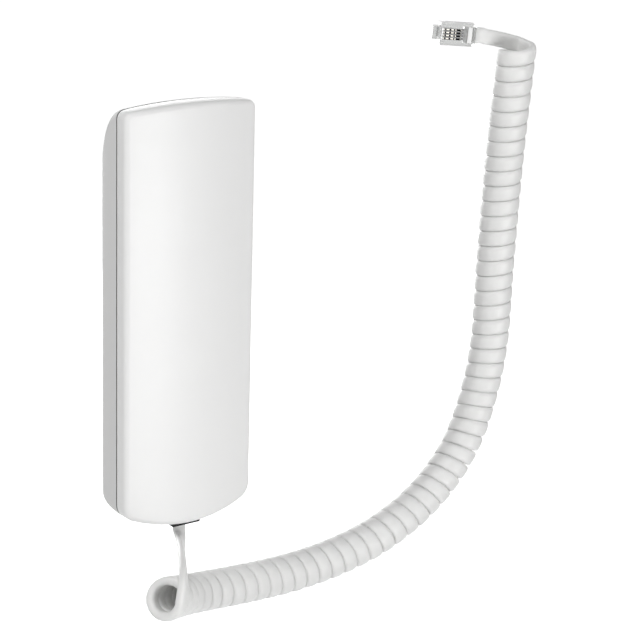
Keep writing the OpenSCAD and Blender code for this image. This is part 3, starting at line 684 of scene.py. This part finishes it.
# Notches in the two corners beside the nose
NOTCH_HALF_WIDTH, NOTCH_DEPTH, NOTCH_LENGTH = 0.9 * MM, 1.2 * MM, 2.2 * MM
CONTACT_PITCH, CONTACT_T, CONTACT_LENGTH, CONTACT_H = 1.02 * MM, 0.45 * MM, 6.4 * MM, 1.8 * MM
CONTACT_TOP, CONTACT_SET = PLUG_LENGTH - 0.9 * MM, 0.5 * MM
# Parts of a blade that come up to the face, in millimetres along the plug
LANDS = ((5, 5.4), (6.9, 7.3), (7.8, 8.7), (9.4, 10.4), (11, 11.4))
LATCH_WIDTH, LATCH_T, LATCH_LENGTH, LATCH_GAP = 3.2 * MM, 0.7 * MM, 10.8 * MM, 0.4 * MM
LATCH_STEP_AT, LATCH_STEP, LATCH_ROOT = 0.45 * LATCH_LENGTH, 0.5 * MM, 0.4 * MM
LATCH_NECK_WIDTH, LATCH_END_WIDTH, LATCH_SET_BACK = 0.72 * LATCH_WIDTH, 0.64 * LATCH_WIDTH, 0.6 * MM
SEATED_LEAN, FREE_LEAN = 7, 11
WIRE_D = 0.8 * MM
# Each wire's height and place along the plug, in millimetres
WIRE_ROUTE = ((0, 3.6), (-0.6, 4.4), (-1.7, 5.2), (-1.9, 6.2), (-1.8, 7.4), (-1.75, 9), (-1.75, 11.2))
BAR_WIDTH, BAR_FROM, BAR_TO, BAR_SUNK = 0.72 * PLUG_WIDTH, 1.2 * MM, 2.8 * MM, 0.2 * MM
PLUG_PLAY, WIRE_BITE = 0.1 * MM, 0.05 * MM
BODY_EDGE, BAR_EDGE, LEVER_EDGE = 0.12 * MM, 0.15 * MM, 0.1 * MM
FACE = -PLUG_HEIGHT / 2
CONTACT_PLACES = [k * CONTACT_PITCH for k in (-1.5, -0.5, 0.5, 1.5)]


def plug_body(name):
    """Clear housing with its nose, a mouth for the cord, contact slots, a window for the bar and notches."""
    w, h, length = PLUG_WIDTH / 2, PLUG_HEIGHT / 2, PLUG_LENGTH
    body = joined(name, [block((-w, -h, 0), (w, h, length))])
    nose_top = h - NOSE_STEP
    nose = block((-NOSE_WIDTH / 2, nose_top - NOSE_HEIGHT, length - PAST),
                 (NOSE_WIDTH / 2, nose_top, length + NOSE_LENGTH))
    carve(body, [nose], operation="UNION")
    mouth_w, mouth_h = CORD_WIDTH / 2 + PLUG_PLAY, CORD_T / 2 + PLUG_PLAY
    mouth = block((-mouth_w, -mouth_h, -PAST), (mouth_w, mouth_h, CORD_HOLE_DEPTH))
    half = WIRE_D / 2 - WIRE_BITE
    slots = [block((x - half, -h - PAST, CONTACT_TOP - CONTACT_LENGTH),
                   (x + half, -h + CONTACT_SET + CONTACT_H, CONTACT_TOP + PLUG_PLAY)) for x in CONTACT_PLACES]
    bar_half = BAR_WIDTH / 2 + PLUG_PLAY
    window = block((-bar_half, -h - PAST, BAR_FROM - PLUG_PLAY),
                   (bar_half, -mouth_h + PLUG_PLAY, BAR_TO + PLUG_PLAY))
    notches = [block((x - NOTCH_HALF_WIDTH, h - NOTCH_DEPTH, length - NOTCH_LENGTH),
                     (x + NOTCH_HALF_WIDTH, h + PAST, length + PAST)) for x in (-w, w)]
    carve(body, [mouth], slots, [window], notches)
    round_edges(body, BODY_EDGE)
    return body


def plug_bar(name):
    """Bar that is pressed down on the cord to hold it."""
    half = BAR_WIDTH / 2
    bar = joined(name, [block((-half, FACE + BAR_SUNK, BAR_FROM), (half, -CORD_T / 2, BAR_TO))])
    round_edges(bar, BAR_EDGE)
    return bar


def plug_blades(name):
    """Contact blades: each stands in its wire and shows a few lands at the face."""
    solids = []
    for x in CONTACT_PLACES:
        left, right, top = x - CONTACT_T / 2, x + CONTACT_T / 2, FACE + CONTACT_SET
        for low, high in LANDS:
            solids.append(block((left, top, low * MM), (right, top + CONTACT_H, high * MM)))
    return joined(name, solids)


def tube(route, radius, sides=10):
    """Points and faces of a round tube through the points of a route that keeps one x."""
    line, points = curve_through(route, WIRE_STEPS), []
    for i, p in enumerate(line):
        along = (line[min(i + 1, len(line) - 1)] - line[max(i - 1, 0)]).normalized()
        side = along.cross(Vector((1, 0, 0)))
        for k in range(sides):
            a = 2 * math.pi * k / sides
            points.append(p + radius * (Vector((1, 0, 0)) * math.cos(a) + side * math.sin(a)))
    return points, ring_faces(len(line), sides)


def plug_wires(name):
    """Insulated conductors from the cord's end up under the blades."""
    routes = [[Vector((x, y * MM, z * MM)) for y, z in WIRE_ROUTE] for x in CONTACT_PLACES]
    wires = joined(name, [tube(route, WIRE_D / 2) for route in routes])
    smooth(wires, ROUND_SHARP_FROM)
    return wires


def plug_lever(name, lean):
    """Tapered lever with its catch step half way, leaning out from its root at the nose."""
    wide, neck, end = LATCH_WIDTH / 2, LATCH_NECK_WIDTH / 2, LATCH_END_WIDTH / 2
    right = [(end, -LATCH_LENGTH), (neck, -LATCH_STEP_AT - LATCH_STEP), (wide, -LATCH_STEP_AT),
             (wide, LATCH_ROOT)]
    plan = [(-x, z) for x, z in reversed(right)] + right
    lever = loft(name, [[Vector((x, y, z)) for x, z in plan] for y in (0, LATCH_T)])
    round_edges(lever, LEVER_EDGE)
    root = Vector((0, PLUG_HEIGHT / 2 + LATCH_GAP, PLUG_LENGTH - LATCH_SET_BACK))
    lever.data.transform(Matrix.Translation(root) @ Matrix.Rotation(math.radians(lean), 4, "X"))
    return lever


def make_plugs():
    """The plug that sits in the socket and the one at the cord's free end."""
    seat = Matrix.Translation(CORD_FROM + Vector((0, 0, PLUG_SUNK)))
    yaw = Matrix.Rotation(math.radians(LINE_PLUG_YAW), 4, "Z")
    point = yaw @ Matrix.Rotation(math.radians(90 - LINE_PLUG_LIFT), 4, "Y")
    lie = Matrix.Translation(LINE_PLUG_AT) @ point @ Matrix.Rotation(math.pi, 4, "Z")
    made = []
    for plug, place, lean in (("handset", seat, SEATED_LEAN), ("line", lie, FREE_LEAN)):
        name = plug + "_plug_"
        pieces = ((plug_body(name + "shell"), CLEAR, "clear_plastic", "handset", [name + "body"]),
                  (plug_bar(name + "bar"), FROSTED, "clear_plastic", "handset", []),
                  (plug_blades(name + "blades"), GOLD, "contact_metal", "handset", [name + "contacts"]),
                  (plug_wires(name + "wires"), WIRE, "dark_plastic", "handset", []),
                  (plug_lever(name + "lever", lean), CLEAR, "clear_plastic", plug + "_latch",
                   [name + "latch"]))
        for piece, material, slot, body, nodes in pieces:
            piece.data.transform(place)
            finish_piece(piece, material, slot, body, *nodes)
            made.append(piece)
    return made


plug_pieces = make_plugs()


# Socket: its CAD housing, with a thin raised rim round the mouth

LIP_LOW, LIP_HIGH, LIP_EDGE = mm(-5.27, -15.87, -72.55), mm(5.27, -2.58, -72), 0.08 * MM
# Openings for the plug and for its lever, from the mouth's middle
LIP_MIDDLE, HALF_MOUTH = Vector((0, CORD_FROM.y, -72.1 * MM)), mm(4.02, 3, 2)
LEVER_SLOT_LOW, LEVER_SLOT_HIGH = mm(-1.9, 0, -2), mm(1.9, 5.9, 2)


def socket_lip():
    lip = joined("socket_lip", [block(LIP_LOW, LIP_HIGH)])
    carve(lip, [block(LIP_MIDDLE - HALF_MOUTH, LIP_MIDDLE + HALF_MOUTH)],
          [block(LIP_MIDDLE + LEVER_SLOT_LOW, LIP_MIDDLE + LEVER_SLOT_HIGH)])
    round_edges(lip, LIP_EDGE)
    finish_piece(lip, DARK, "dark_plastic", "handset")


socket_lip()


# CAD nodes that keep their shape

CARRIED = {
    "earpiece_cloth": CLOTH, "microphone_cloth": CLOTH, "receiver_gasket": RUBBER,
    "microphone_boot": RUBBER, "receiver_pad": RUBBER, "receiver_frame": DARK, "receiver_diaphragm": FILM,
    "receiver_voice_coil": COPPER, "receiver_pole_plate": STEEL, "receiver_magnet": STEEL,
    "receiver_yoke": STEEL, "receiver_leads": RED_LEAD, "microphone_leads": BLUE_LEAD,
    "microphone_capsule": STEEL, "ballast_weight": STEEL, "upper_case_screw": STEEL,
    "lower_case_screw": STEEL, "cord_socket": DARK, "socket_contacts": GOLD, "socket_board": BOARD,
}
for name, material in CARRIED.items():
    NODES[name].data.materials.clear()
    NODES[name].data.materials.append(material)


# Studio: soft lamps round the part, a low one that the face mirrors, and a white surround

LAMP_TARGET = mm(40, -15, 0)
# Name, azimuth and elevation in degrees, distance and diameter in metres, power in watts
LAMPS = (
    ("key", -45, 45, 1.3, 0.9, 5.8),
    ("front", 13, -12, 0.9, 0.4, 3.45),
    ("side", -85, 15, 1.3, 0.9, 3.8),
    ("top", -40, 70, 1.3, 0.9, 3.1),
    ("back", 165, 5, 1.3, 0.9, 7),
)
WORLD_LIGHT = 0.08
FLOOR_DROP, FLOOR_REACH = 0.25, 6
FLOOR_COLOUR, FLOOR_ROUGHNESS, FLOOR_GLOW = (0.88, 0.88, 0.88, 1), 0.9, 0.92


def soft_box(name, azimuth, elevation, distance, size, power):
    towards = direction(azimuth, elevation)
    data = bpy.data.lights.new(name, "AREA")
    data.shape, data.size, data.energy = "DISK", size, power
    lamp = bpy.data.objects.new(name, data)
    lamp.location = LAMP_TARGET + towards * distance
    lamp.rotation_euler = towards.to_track_quat("Z", "Y").to_euler()
    bpy.context.scene.collection.objects.link(lamp)


def seen_directly(tree):
    """One where the camera, a reflection or a clear piece sees it, and nought for diffuse light."""
    path = add(tree, "LightPath")
    total = path.outputs["Is Camera Ray"]
    for name in ("Is Glossy Ray", "Is Transmission Ray"):
        sum_up = add(tree, "Math", operation="ADD", use_clamp=True)
        tree.links.new(total, sum_up.inputs[0])
        tree.links.new(path.outputs[name], sum_up.inputs[1])
        total = sum_up.outputs["Value"]
    return total


def white_world(light):
    world = bpy.data.worlds.new("studio")
    world.use_nodes = True
    tree = world.node_tree
    strength = add(tree, "MapRange")
    strength.inputs["To Min"].default_value = light
    strength.inputs["To Max"].default_value = 1.0
    tree.links.new(seen_directly(tree), strength.inputs["Value"])
    tree.nodes["Background"].inputs["Color"].default_value = (1, 1, 1, 1)
    tree.links.new(strength.outputs["Result"], tree.nodes["Background"].inputs["Strength"])
    bpy.context.scene.world = world


def pale_floor(z, reach):
    corners = [(x * reach, y * reach, z) for x, y in ((-1, -1), (1, -1), (1, 1), (-1, 1))]
    floor = mesh_piece("floor", corners, [(0, 1, 2, 3)])
    material, tree, shader = node_material("pale_floor")
    shader.inputs["Base Color"].default_value = FLOOR_COLOUR
    shader.inputs["Roughness"].default_value = FLOOR_ROUGHNESS
    shader.inputs["Emission Color"].default_value = (1, 1, 1, 1)
    glow = add(tree, "Math", operation="MULTIPLY")
    glow.inputs[1].default_value = FLOOR_GLOW
    tree.links.new(seen_directly(tree), glow.inputs[0])
    tree.links.new(glow.outputs["Value"], shader.inputs["Emission Strength"])
    floor.data.materials.append(material)


white_world(WORLD_LIGHT)
pale_floor(CAD_BOX[0].z - FLOOR_DROP, FLOOR_REACH)
for lamp in LAMPS:
    soft_box(*lamp)

scene = bpy.context.scene
scene.view_settings.view_transform = "Standard"
